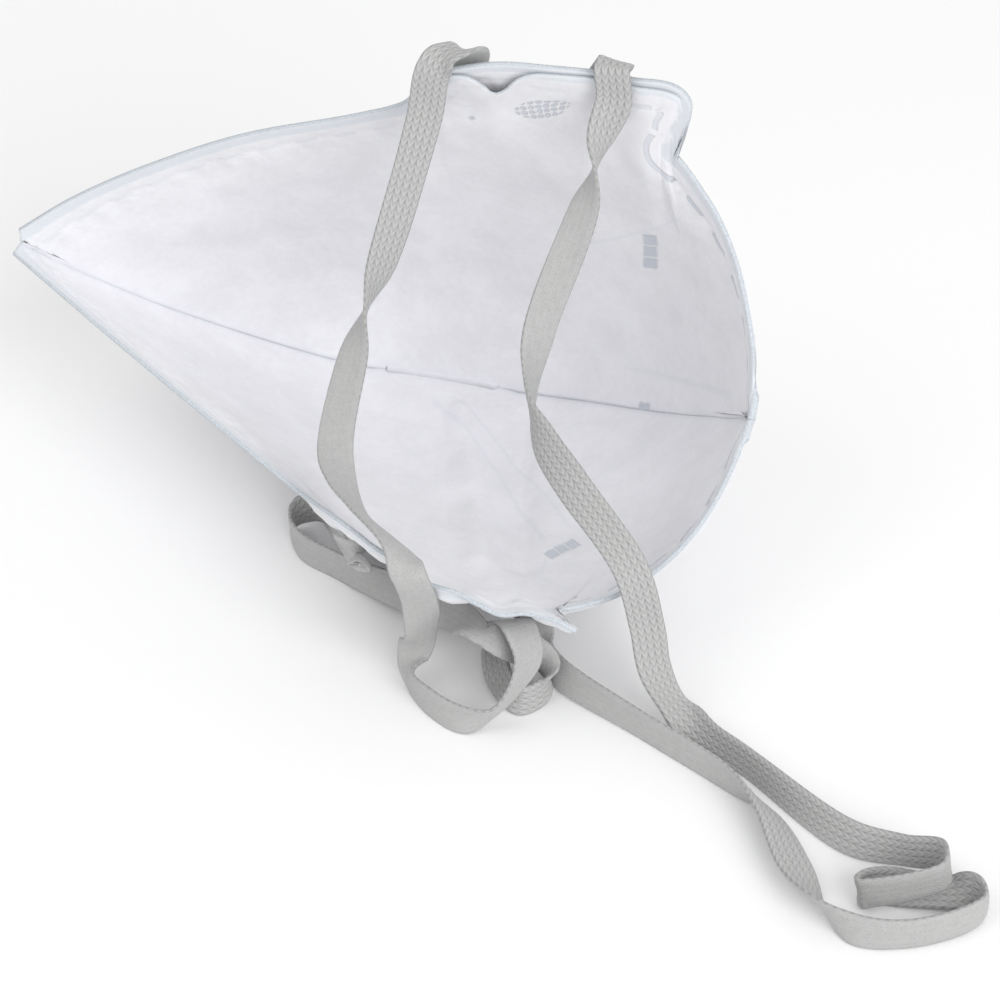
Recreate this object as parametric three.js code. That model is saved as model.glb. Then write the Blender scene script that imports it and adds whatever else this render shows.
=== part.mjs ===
// A folding respirator mask that has been opened and laid on its right cheek.
// Two cloth cheek panels meet along a seam down the front, and two flat elastic
// straps run from the outer face of one cheek tab to the outer face of the other.
// Millimetres, +Z up. X runs from the nose end (-X) to the chin end (+X), and the
// opening faces forward (-Y) and up. The surface it lies on is at z = 0.

import * as THREE from 'three';

// The shell at rest
const LENGTH = 150; // from the nose end to the chin end
const REST_TILT = THREE.MathUtils.degToRad(42); // how far the opening looks up
const REST_HEIGHT = 42.6; // the nose and chin ends above the surface
const BACK_SHIFT = 2.8; // centres the shell from front to back

// The cloth
const WALL = 1.6; // several layers, lying loose on each other
const BAND_WALL = 1.0; // the same layers welded together along the edge
const BAND_WIDTH = 3; // width of the welded edge band
const SEAM_WIDTH = 3.2; // width of the welded flange along the front seam
const SEAM_TAPER = 14; // the flange runs out to nothing over this length
const SEAM_GAP = 0.3; // between the two panels
const SEAM_EASE = 0.12; // folds run out over this share of the way from the seam
const BULGE = 0.36; // how full each section is between its two end directions

// The straps
const STRAP_WIDTH = 6.4;
const STRAP_THICKNESS = 0.9;

// Sections across the shell. Widths run from the middle to each edge, heights
// are measured along the way that the opening looks, and seamShift is how far the
// seam lies from the middle. The angles are the directions in which each panel
// leaves the seam and arrives at its edge.
const SECTION_COLUMNS = ['along', 'left', 'right', 'edgeHeight', 'seamHeight', 'seamShift',
  'leftSeamAngle', 'leftEdgeAngle', 'rightSeamAngle', 'rightEdgeAngle'];
const SECTIONS = [
  [0, 2, 2, 0, -2, 0, 45, 60, 48, 62],
  [10, 10, 6.4, 1.5, -14, -2, 46, 66, 55, 72],
  [25, 19, 13, 4, -34, -3.5, 44, 72, 55, 80],
  [45, 28.2, 21.5, 8, -51, -4, 42, 74, 50, 84],
  [65, 34.4, 29.8, 12, -60, -3, 40, 76, 48, 84],
  [80, 39.5, 36, 14.5, -61, -2, 40, 72, 48, 82],
  [95, 43.5, 41.5, 15.5, -58, -1, 40, 68, 46, 82],
  [110, 44.5, 44.6, 15.5, -51.5, -0.5, 38, 62, 42, 80],
  [124, 42, 45, 14, -42, -0.5, 34, 54, 36, 78],
  [136, 33, 39.5, 10, -29, -0.5, 32, 62, 30, 70],
  [142, 25, 33, 7, -20.5, -0.8, 34, 62, 32, 66],
  [146, 16.5, 26, 4.5, -13, -1, 36, 60, 34, 62],
  [148.6, 9.5, 17.5, 2, -6, -1.5, 30, 40, 30, 44],
  [150, 5, 8.5, 0, -1, -2, 12, 12, 12, 12],
];

// How far each strap tab reaches past the edge of its panel
const TAB_COLUMNS = ['along', 'left', 'right'];
const TABS = [
  [73, 0, 0],
  [76, 0.8, 1],
  [78, 5.5, 5],
  [79.5, 10.5, 9],
  [82, 12.5, 11],
  [100, 10.5, 11],
  [114, 10, 12],
  [123, 12, 13.5],
  [126, 11, 13.5],
  [127.3, 8, 12.5],
  [128.3, 0, 0],
];
const TAB_LEAN = { left: 0.5, right: 0.75 }; // towards the chin, for each millimetre of reach

// Soft folds in the cloth. Each runs between two places, given as the distance
// along the shell and the share of the way from the seam to the edge. The height
// is inwards, and negative for a hollow.
const FOLD_COLUMNS = ['fromAlong', 'fromShare', 'toAlong', 'toShare', 'width', 'height'];
const FOLDS = {
  left: [
    [104, 0.72, 130, 0.8, 5, 0.9],
    [30, 0.55, 62, 0.62, 7, 0.5],
  ],
  right: [
    [84, 0.1, 104, 0.78, 4.5, 1],
    [94, 0.08, 112, 0.7, 5, -0.8],
    [118, 0.1, 143, 0.3, 3, 0.6],
    [119, 0.9, 122, 1, 5, 2.2],
  ],
};

// The way each strap takes, from the outer face of the left tab to the outer face
// of the right one: places on its middle line, and the rough direction of its
// width there, which turns over where the strap is twisted. On the surface it
// stands on its edge.
const ROUTE_COLUMNS = ['x', 'y', 'z', 'widthX', 'widthY', 'widthZ'];
const UPPER_STRAP = [
  [12, 21, 85.9, 0.9, 0.1, 0.3],
  [16, 15.5, 95.8, 0.9, 0.2, 0.3],
  [13.5, 13, 96.8, 1, 0.2, 0.2],
  [11, 11, 94.2, 1, 0.2, 0],
  [9, 10.5, 83.7, 1, 0.2, -0.2],
  [5.5, -1.5, 59.5, 0.6, 0.7, -0.3],
  [4.5, -7, 52.5, -0.3, 0.7, -0.6],
  [4.5, -13, 46, -0.9, 0.1, -0.3],
  [7, -27.5, 36, -0.9, -0.4, 0],
  [11.5, -34.5, 33.5, -0.7, -0.55, 0.5],
  [17, -40, 33, -0.5, -0.5, 0.75],
  [28.5, -48.5, 33.5, -0.6, -0.6, 0.5],
  [32, -51.8, 30.9, -0.9, -0.3, 0.1],
  [32, -47.5, 21.5, -0.9, -0.4, 0],
  [30.5, -44, 12, -0.7, -0.65, -0.3],
  [28.5, -43.5, 6, -0.5, -0.2, -0.8],
  [30, -47.5, 3.4, 0, 0, -1],
  [35.5, -51.5, 3.4, 0, 0, -1],
  [42.5, -53.5, 3.4, 0, 0, -1],
  [47.3, -51.3, 4.9, -0.2, 0.6, -0.8],
  [50, -48.2, 8.4, 0.1, 0.8, -0.6],
  [51.3, -44.8, 13.6, 0.5, 0.65, -0.45],
  [48.5, -42, 17.6, 0.9, 0.2, 0],
  [44.2, -37.3, 13.4, 0.9, 0.3, 0.1],
  [41.5, -35, 6.6, 0.85, -0.2, 0.5],
  [44.3, -41, 4.3, 0.5, 0.2, 0.8],
  [50.2, -44.9, 3.4, 0, 0.1, 1],
  [53, -40.5, 3.8, 0.1, 0.4, 0.9],
  [52, -38, 7.6, 0.73, -0.15, 0.4],
  [48.9, -41.5, 12.3, 0.35, 0.85, 0.35],
  [42.2, -44.2, 15.8, 0.1, 0.9, -0.3],
  [32, -34, 9.5, 0, 0.8, 0.5],
  [4.5, -22, 3.4, 0, 0, 1],
  [-5.5, -18.5, 3.4, 0, 0, 1],
  [-10, -12.5, 3.6, 0, 0, 1],
  [-7, -10, 6, 0, 0, 1],
  [3, -19.5, 10.5, -0.1, 0.4, 0.9],
  [12, -32.9, 16.8, -0.5, 0.4, 0.7],
  [16.5, -38.5, 21.5, -0.9, 0.4, 0.3],
  [11.5, -36.5, 21.9, -0.9, 0.2, 0.3],
];
const LOWER_STRAP = [
  [36, 23.5, 86.7, 1, 0.1, 0],
  [42, 20, 97, 1, 0.1, 0],
  [42.5, 16.5, 97.5, 1, 0.1, 0],
  [43, 16.5, 91.5, 1, 0.2, -0.1],
  [41.5, 15, 85.3, 0.6, 0.7, -0.4],
  [41, 13, 79, -0.3, 0.7, -0.6],
  [40.5, 9, 72.5, -0.9, 0.1, -0.3],
  [36.5, -2, 53, -0.8, -0.6, 0.2],
  [37, -8, 45.5, -0.1, -0.8, 0.5],
  [39, -12.5, 43, 0.3, -0.7, 0.6],
  [43.5, -17.5, 40, 0.8, -0.2, 0.6],
  [51.5, -24, 37, 0.7, 0.4, 0.6],
  [65.5, -32.5, 29, 0.8, 0.5, 0.3],
  [69.5, -33.5, 17.5, 0.9, 0.5, 0.2],
  [72, -36, 10.5, 0.6, 0.8, 0.1],
  [76.5, -38.5, 5.6, 0, 1, 0.1],
  [83.5, -41.5, 3.4, 0, 0.4, 0.9],
  [91.5, -45, 3.4, 0, 0.1, 1],
  [114.5, -57, 3.4, 0, 0.4, 0.9],
  [124.5, -57.5, 4.2, 0, 0.1, 1],
  [131.5, -59.5, 7.1, 0, 0, 1],
  [132.5, -63.5, 7.1, 0, 0, 1],
  [120.5, -70, 4.4, 0, 0, 1],
  [120, -67, 3.4, 0, 0.2, 1],
  [133, -62, 1.7, -0.2, 1, 0.2],
  [137.5, -61.5, 3.4, -0.2, 0.4, 0.9],
  [140, -64, 3.4, 0, 0, 1],
  [138, -68.5, 3.4, 0, 0, 1],
  [129.5, -75.5, 3.4, 0, 0, 1],
  [121.5, -77.5, 3.4, 0, 0.1, 1],
  [115, -74.5, 3.6, -0.3, -0.4, 0.9],
  [108, -67, 3.8, -0.9, -0.4, 0.3],
  [100, -56.5, 3.8, -0.7, -0.3, 0.6],
  [91, -50.5, 3.4, -0.2, 0, 1],
  [72, -43, 3.4, 0, 0, 1],
  [54.5, -36.5, 4, 0.1, 0.2, 1],
  [49, -32, 4.3, 0.3, 0.3, 0.9],
  [47, -29.5, 7.2, 0.9, 0.2, 0.4],
  [46.5, -32, 11.8, 1, 0.1, 0.1],
  [47, -36, 14.8, 1, 0, 0.1],
];

// Grid steps
const LONG_STEP = 4;
const SHORT_STEP = 1.25;
const FINE_SPANS = [[73, 83], [122, 129.5], [141, 150]];
const ACROSS_STEPS = 16;

function named(columns, row) {
  return Object.fromEntries(columns.map((name, index) => [name, row[index]]));
}

// Slopes of a smooth curve through the table's values that never overshoots them.
function tableSlopes(places, values) {
  const last = places.length - 1;
  const steps = places.slice(1).map((place, index) => place - places[index]);
  const rises = steps.map((step, index) => (values[index + 1] - values[index]) / step);
  return places.map((place, index) => {
    if (index === 0) return rises[0];
    if (index === last) return rises[last - 1];
    const before = rises[index - 1];
    const after = rises[index];
    if (before * after <= 0) return 0;
    const nearBefore = 2 * steps[index] + steps[index - 1];
    const nearAfter = steps[index] + 2 * steps[index - 1];
    return (nearBefore + nearAfter) / (nearBefore / before + nearAfter / after);
  });
}

function tableCurve(columns, rows, name) {
  const entries = rows.map((row) => named(columns, row));
  const places = entries.map((entry) => entry.along);
  const values = entries.map((entry) => entry[name]);
  const slopes = tableSlopes(places, values);
  return (along) => {
    const last = places.length - 1;
    if (along <= places[0]) return values[0];
    if (along >= places[last]) return values[last];
    const index = places.findIndex((place) => place > along) - 1;
    const step = places[index + 1] - places[index];
    const t = (along - places[index]) / step;
    const rise = values[index + 1] - values[index];
    const bend = t * (1 - t) * ((1 - t) * (slopes[index] * step - rise) + t * (rise - slopes[index + 1] * step));
    return values[index] + t * rise + bend;
  };
}

const sectionCurves = Object.fromEntries(
  SECTION_COLUMNS.slice(1).map((name) => [name, tableCurve(SECTION_COLUMNS, SECTIONS, name)]),
);
const tabCurves = {
  left: tableCurve(TAB_COLUMNS, TABS, 'left'),
  right: tableCurve(TAB_COLUMNS, TABS, 'right'),
};

function direction(angleCurve, along) {
  const angle = THREE.MathUtils.degToRad(angleCurve(along));
  return new THREE.Vector2(Math.cos(angle), Math.sin(angle));
}

// The four handles of one panel's section, with x towards that panel's own side.
function sectionHandles(side, along) {
  const sign = side === 'left' ? 1 : -1;
  const seam = new THREE.Vector2(sign * sectionCurves.seamShift(along), sectionCurves.seamHeight(along));
  const edge = new THREE.Vector2(sectionCurves[side](along), sectionCurves.edgeHeight(along));
  const reach = seam.distanceTo(edge) * BULGE;
  const leave = direction(sectionCurves[`${side}SeamAngle`], along);
  const arrive = direction(sectionCurves[`${side}EdgeAngle`], along);
  return {
    curve: new THREE.CubicBezierCurve(
      seam,
      seam.clone().addScaledVector(leave, reach),
      edge.clone().addScaledVector(arrive, -reach),
      edge,
    ),
    arrive,
  };
}

// From the shell's own directions (along, sideways, outwards) to the rested frame.
function rested(side, along, sideways, outwards) {
  const sign = side === 'left' ? 1 : -1;
  const cos = Math.cos(REST_TILT);
  const sin = Math.sin(REST_TILT);
  return new THREE.Vector3(
    along - LENGTH / 2,
    sign * sideways * sin - outwards * cos + BACK_SHIFT,
    sign * sideways * cos + outwards * sin + REST_HEIGHT,
  );
}

// A place on the smooth inner face of a panel. share runs from the seam (0) to
// the free edge (1), tab included.
function smoothPoint(side, along, share) {
  const { curve, arrive } = sectionHandles(side, along);
  const length = curve.getLength();
  const distance = share * (length + tabCurves[side](along));
  const past = Math.max(0, distance - length);
  const place = curve.getPoint(Math.min(1, distance / length));
  place.addScaledVector(arrive, past);
  return rested(side, along + TAB_LEAN[side] * past, place.x, place.y);
}

function distanceToSegment(point, start, end) {
  const run = end.clone().sub(start);
  const t = THREE.MathUtils.clamp(point.clone().sub(start).dot(run) / run.lengthSq(), 0, 1);
  return point.distanceTo(start.clone().addScaledVector(run, t));
}

// Height of the folds at a place, worked out on the flat cloth.
function foldHeight(side, along, share) {
  const spread = sectionHandles(side, along).curve.getLength();
  const point = new THREE.Vector2(along, share * spread);
  const ease = THREE.MathUtils.smoothstep(share, 0, SEAM_EASE);
  return ease * FOLDS[side].reduce((sum, row) => {
    const fold = named(FOLD_COLUMNS, row);
    const start = new THREE.Vector2(fold.fromAlong, fold.fromShare * spread);
    const end = new THREE.Vector2(fold.toAlong, fold.toShare * spread);
    const away = distanceToSegment(point, start, end) / fold.width;
    return sum + fold.height * Math.exp(-away * away);
  }, 0);
}

function stations() {
  const list = [0];
  while (list[list.length - 1] < LENGTH) {
    const here = list[list.length - 1];
    const fine = FINE_SPANS.some(([start, end]) => here >= start && here < end);
    const edge = FINE_SPANS.map(([start]) => start).find((start) => start > here) ?? LENGTH;
    list.push(Math.min(here + (fine ? SHORT_STEP : LONG_STEP), fine ? LENGTH : edge));
  }
  return list;
}

// Outward normals of a grid of points, from each point's neighbours.
function gridNormals(grid, sign) {
  const last = grid.length - 1;
  return grid.map((row, i) => row.map((point, j) => {
    const alongRun = grid[Math.min(i + 1, last)][j].clone().sub(grid[Math.max(i - 1, 0)][j]);
    const acrossRun = row[Math.min(j + 1, row.length - 1)].clone().sub(row[Math.max(j - 1, 0)]);
    return acrossRun.cross(alongRun).normalize().multiplyScalar(sign);
  }));
}

function wallAt(side, along, share) {
  const spread = sectionHandles(side, along).curve.getLength() + tabCurves[side](along);
  const fromEdge = Math.min((1 - share) * spread, along + BAND_WIDTH / 2, LENGTH - along + BAND_WIDTH / 2);
  return THREE.MathUtils.lerp(BAND_WALL, WALL, THREE.MathUtils.smoothstep(fromEdge, BAND_WIDTH * 0.6, BAND_WIDTH));
}

// The cloth lies flat where it would sink into the surface.
function pressedFlat(point) {
  point.z = Math.max(point.z, WALL);
  return point;
}

// The two faces of one panel as grids, from the seam flange to the free edge.
function panelFaces(side) {
  const sign = side === 'left' ? 1 : -1;
  const places = stations();
  const shares = Array.from({ length: ACROSS_STEPS + 1 }, (_, j) => (j / ACROSS_STEPS));
  const smooth = places.map((along) => shares.map((share) => smoothPoint(side, along, share)));
  const smoothNormals = gridNormals(smooth, sign);
  const inner = smooth.map((row, i) => row.map((point, j) => {
    const height = foldHeight(side, places[i], shares[j]);
    return pressedFlat(point.clone().addScaledVector(smoothNormals[i][j], -height));
  }));
  const normals = gridNormals(inner, sign);
  const outer = inner.map((row, i) => row.map((point, j) => (
    point.clone().addScaledVector(normals[i][j], wallAt(side, places[i], shares[j]))
  )));
  outer.flat().forEach((point) => {
    point.z = Math.max(point.z, 0);
  });
  addSeamFlange(side, places, inner, outer);
  return { inner, outer };
}

// The flange points straight back, so it lies on the surface where the shell rests.
function addSeamFlange(side, places, inner, outer) {
  const sign = side === 'left' ? 1 : -1;
  const seams = inner.map((row) => row[0].clone());
  places.forEach((along, i) => {
    const taper = THREE.MathUtils.clamp(Math.min(along, LENGTH - along) / SEAM_TAPER, 0.05, 1);
    const seam = seams[i].clone();
    const after = seams[Math.min(i + 1, places.length - 1)];
    const run = after.clone().sub(seams[Math.max(i - 1, 0)]).normalize();
    const back = new THREE.Vector3(0, 1, 0);
    const out = back.addScaledVector(run, -back.dot(run)).normalize();
    const up = run.clone().cross(out).normalize();
    const clear = up.clone().multiplyScalar(sign * SEAM_GAP / 2);
    const thick = up.clone().multiplyScalar(sign * BAND_WALL);
    const tip = seam.clone().addScaledVector(out, SEAM_WIDTH * taper);
    const corner = side === 'left'
      ? outer[i][0].clone().addScaledVector(up, BAND_WALL).add(clear)
      : outer[i][0];
    inner[i][0] = seam.add(clear);
    outer[i][0] = corner;
    inner[i].unshift(tip.clone().add(clear));
    outer[i].unshift(tip.clone().add(clear).add(thick));
  });
}

// One closed sheet from two faces that share their grid.
function closedSheet(inner, outer, flip) {
  const rows = inner.length;
  const columns = inner[0].length;
  const positions = [...inner.flat(), ...outer.flat()].flatMap((point) => point.toArray());
  const indices = [];
  const quad = (a, b, c, d) => {
    if (flip) indices.push(a, c, b, a, d, c);
    else indices.push(a, b, c, a, c, d);
  };
  const onInner = (i, j) => i * columns + j;
  const onOuter = (i, j) => rows * columns + i * columns + j;
  for (let i = 0; i < rows - 1; i += 1) {
    for (let j = 0; j < columns - 1; j += 1) {
      quad(onInner(i, j), onInner(i + 1, j), onInner(i + 1, j + 1), onInner(i, j + 1));
      quad(onOuter(i, j), onOuter(i, j + 1), onOuter(i + 1, j + 1), onOuter(i + 1, j));
    }
    const end = columns - 1;
    quad(onInner(i, 0), onOuter(i, 0), onOuter(i + 1, 0), onInner(i + 1, 0));
    quad(onInner(i, end), onInner(i + 1, end), onOuter(i + 1, end), onOuter(i, end));
  }
  for (let j = 0; j < columns - 1; j += 1) {
    const end = rows - 1;
    quad(onInner(0, j), onInner(0, j + 1), onOuter(0, j + 1), onOuter(0, j));
    quad(onInner(end, j), onOuter(end, j), onOuter(end, j + 1), onInner(end, j + 1));
  }
  const geometry = new THREE.BufferGeometry();
  geometry.setAttribute('position', new THREE.Float32BufferAttribute(positions, 3));
  geometry.setIndex(indices);
  geometry.computeVertexNormals();
  return geometry;
}

function cheekPanel(side) {
  const { inner, outer } = panelFaces(side);
  const cloth = new THREE.MeshStandardMaterial({ color: 0xeeeef3, roughness: 0.95, metalness: 0 });
  const mesh = new THREE.Mesh(closedSheet(inner, outer, side === 'right'), cloth);
  mesh.name = `${side}_panel`;
  return mesh;
}

// A flat strap with a square section, with one step for each row of its route.
function strap(name, rows) {
  const route = rows.map((row) => named(ROUTE_COLUMNS, row));
  const middle = route.map((row) => new THREE.Vector3(row.x, row.y, row.z));
  const last = route.length - 1;
  const rings = route.map((row, i) => {
    const run = middle[Math.min(i + 1, last)].clone().sub(middle[Math.max(i - 1, 0)]).normalize();
    const width = new THREE.Vector3(row.widthX, row.widthY, row.widthZ);
    width.addScaledVector(run, -width.dot(run)).setLength(STRAP_WIDTH / 2);
    const thickness = run.cross(width).setLength(STRAP_THICKNESS / 2);
    return [[-1, -1], [1, -1], [1, 1], [-1, 1]].map(([across, through]) => (
      middle[i].clone().addScaledVector(width, across).addScaledVector(thickness, through)
    ));
  });
  const corners = rings[0].length;
  const positions = rings.flat().flatMap((point) => point.toArray());
  const end = last * corners;
  const indices = [0, 2, 1, 0, 3, 2, end, end + 1, end + 2, end, end + 2, end + 3];
  for (let i = 0; i < last; i += 1) {
    for (let side = 0; side < corners; side += 1) {
      const here = i * corners + side;
      const beside = i * corners + (side + 1) % corners;
      indices.push(here, beside, beside + corners, here, beside + corners, here + corners);
    }
  }
  const geometry = new THREE.BufferGeometry();
  geometry.setAttribute('position', new THREE.Float32BufferAttribute(positions, 3));
  geometry.setIndex(indices);
  geometry.computeVertexNormals();
  const knit = new THREE.MeshStandardMaterial({ color: 0xc9c8c6, roughness: 0.9, metalness: 0 });
  const mesh = new THREE.Mesh(geometry, knit);
  mesh.name = name;
  return mesh;
}

const mask = new THREE.Group();
mask.add(cheekPanel('left'), cheekPanel('right'));
mask.add(strap('upper_strap', UPPER_STRAP), strap('lower_strap', LOWER_STRAP));

export default mask;
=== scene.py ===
"""A folding respirator mask, opened and laid on its right cheek, with its two knitted straps."""

import math

import bmesh
import bpy
import numpy as np
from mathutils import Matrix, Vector, noise


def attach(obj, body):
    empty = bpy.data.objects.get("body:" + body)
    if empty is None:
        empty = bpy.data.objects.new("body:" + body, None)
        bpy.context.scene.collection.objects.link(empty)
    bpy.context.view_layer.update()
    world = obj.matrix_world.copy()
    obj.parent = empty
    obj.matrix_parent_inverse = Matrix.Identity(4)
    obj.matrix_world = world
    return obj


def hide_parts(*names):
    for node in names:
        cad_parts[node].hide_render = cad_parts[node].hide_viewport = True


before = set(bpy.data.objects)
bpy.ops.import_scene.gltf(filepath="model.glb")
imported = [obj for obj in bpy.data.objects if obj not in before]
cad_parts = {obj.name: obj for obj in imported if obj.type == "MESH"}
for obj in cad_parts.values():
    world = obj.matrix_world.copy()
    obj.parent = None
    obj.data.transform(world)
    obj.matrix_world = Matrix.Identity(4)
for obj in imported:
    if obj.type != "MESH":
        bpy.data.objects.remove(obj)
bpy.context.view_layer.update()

bl_info = {
    "name": "Folding respirator mask",
    "version": (1, 0, 0),
    "blender": (4, 5, 0),
    "location": "View3D > Sidebar > Mask",
    "description": "Builds a folding respirator mask round its fixed frame",
    "category": "Object",
}

MM = 0.001

# Sections across the shell, in millimetres and degrees. Widths run from the
# middle to each edge, heights along the way that the opening looks.
SECTION_COLUMNS = (
    "along", "left", "right", "edge_height", "seam_height", "seam_shift",
    "left_seam_angle", "left_edge_angle", "right_seam_angle", "right_edge_angle",
)
SECTIONS = (
    (0, 2, 2, 0, -2, 0, 45, 60, 48, 62),
    (10, 10, 6.4, 1.5, -14, -2, 46, 66, 55, 72),
    (25, 19, 13, 4, -34, -3.5, 44, 72, 55, 80),
    (45, 28.2, 21.5, 8, -51, -4, 42, 74, 50, 84),
    (65, 34.4, 29.8, 12, -60, -3, 40, 76, 48, 84),
    (80, 39.5, 36, 14.5, -61, -2, 40, 72, 48, 82),
    (95, 43.5, 41.5, 15.5, -58, -1, 40, 68, 46, 82),
    (110, 44.5, 44.6, 15.5, -51.5, -0.5, 38, 62, 42, 80),
    (124, 42, 45, 14, -42, -0.5, 34, 54, 36, 78),
    (136, 33, 39.5, 10, -29, -0.5, 32, 62, 30, 70),
    (142, 25, 33, 7, -20.5, -0.8, 34, 62, 32, 66),
    (146, 16.5, 26, 4.5, -13, -1, 36, 60, 34, 62),
    (148.6, 9.5, 17.5, 2, -6, -1.5, 30, 40, 30, 44),
    (150, 5, 8.5, 0, -1, -2, 12, 12, 12, 12),
)

# How far each strap tab reaches past the edge of its panel.
TAB_COLUMNS = ("along", "left", "right")
TABS = (
    (73, 0, 0),
    (76, 0.8, 1),
    (78, 5.5, 5),
    (79.5, 10.5, 9),
    (82, 12.5, 11),
    (100, 10.5, 11),
    (114, 10, 12),
    (123, 12, 13.5),
    (126, 11, 13.5),
    (127.3, 8, 12.5),
    (128.3, 0, 0),
)
TAB_LEAN = {"left": 0.5, "right": 0.75}

# Soft folds between two places, each given as the distance along the shell and
# the share of the way from the seam to the edge, then the width and the height.
FOLDS = {
    "left": (
        (104, 0.72, 130, 0.8, 5, 0.9),
        (30, 0.55, 62, 0.62, 7, 0.5),
    ),
    "right": (
        (80, 0.1, 107, 0.66, 3.6, 2.0),
        (92, 0.08, 114, 0.6, 3.4, -1.9),
        (118, 0.1, 143, 0.3, 3, 0.6),
        (119, 0.9, 122, 1, 5, 2.2),
    ),
}

# The way each strap takes, in metres: places on its middle line and the rough
# direction of its width there, which turns over where the strap is twisted.
UPPER_STRAP = (
    (0.012, 0.021, 0.0859, 0.9, 0.1, 0.3),
    (0.016, 0.0155, 0.0958, 0.9, 0.2, 0.3),
    (0.0135, 0.013, 0.0968, 1, 0.2, 0.2),
    (0.011, 0.011, 0.0942, 1, 0.2, 0),
    (0.009, 0.0105, 0.0837, 1, 0.2, -0.2),
    (0.0055, -0.0015, 0.0595, 0.6, 0.7, -0.3),
    (0.0045, -0.007, 0.0525, -0.3, 0.7, -0.6),
    (0.0045, -0.013, 0.046, -0.9, 0.1, -0.3),
    (0.007, -0.0275, 0.036, -0.9, -0.4, 0),
    (0.0115, -0.0345, 0.0335, -0.7, -0.55, 0.5),
    (0.017, -0.04, 0.033, -0.5, -0.5, 0.75),
    (0.0285, -0.0485, 0.0335, -0.6, -0.6, 0.5),
    (0.032, -0.0518, 0.0309, -0.9, -0.3, 0.1),
    (0.032, -0.0475, 0.0215, -0.9, -0.4, 0),
    (0.0305, -0.044, 0.012, -0.7, -0.65, -0.3),
    (0.0285, -0.0435, 0.006, -0.5, -0.2, -0.8),
    (0.03, -0.0475, 0.0034, 0, 0, -1),
    (0.0355, -0.0515, 0.0034, 0, 0, -1),
    (0.0425, -0.0535, 0.0034, 0, 0, -1),
    (0.0473, -0.0513, 0.0049, -0.2, 0.6, -0.8),
    (0.05, -0.0482, 0.0084, 0.1, 0.8, -0.6),
    (0.0513, -0.0448, 0.0136, 0.5, 0.65, -0.45),
    (0.0485, -0.042, 0.0176, 0.9, 0.2, 0),
    (0.0442, -0.0373, 0.0134, 0.9, 0.3, 0.1),
    (0.0415, -0.035, 0.0066, 0.85, -0.2, 0.5),
    (0.0443, -0.041, 0.0043, 0.5, 0.2, 0.8),
    (0.0502, -0.0449, 0.0034, 0, 0.1, 1),
    (0.053, -0.0405, 0.0038, 0.1, 0.4, 0.9),
    (0.052, -0.038, 0.0076, 0.73, -0.15, 0.4),
    (0.0489, -0.0415, 0.0123, 0.35, 0.85, 0.35),
    (0.0422, -0.0442, 0.0158, 0.1, 0.9, -0.3),
    (0.032, -0.034, 0.0095, 0, 0.8, 0.5),
    (0.0045, -0.022, 0.0034, 0, 0, 1),
    (-0.0055, -0.0185, 0.0034, 0, 0, 1),
    (-0.01, -0.0125, 0.0036, 0, 0, 1),
    (-0.007, -0.01, 0.006, 0, 0, 1),
    (0.003, -0.0195, 0.0105, -0.1, 0.4, 0.9),
    (0.012, -0.0329, 0.0168, -0.5, 0.4, 0.7),
    (0.0165, -0.0385, 0.0215, -0.9, 0.4, 0.3),
    (0.0115, -0.0365, 0.0219, -0.9, 0.2, 0.3),
)
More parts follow.
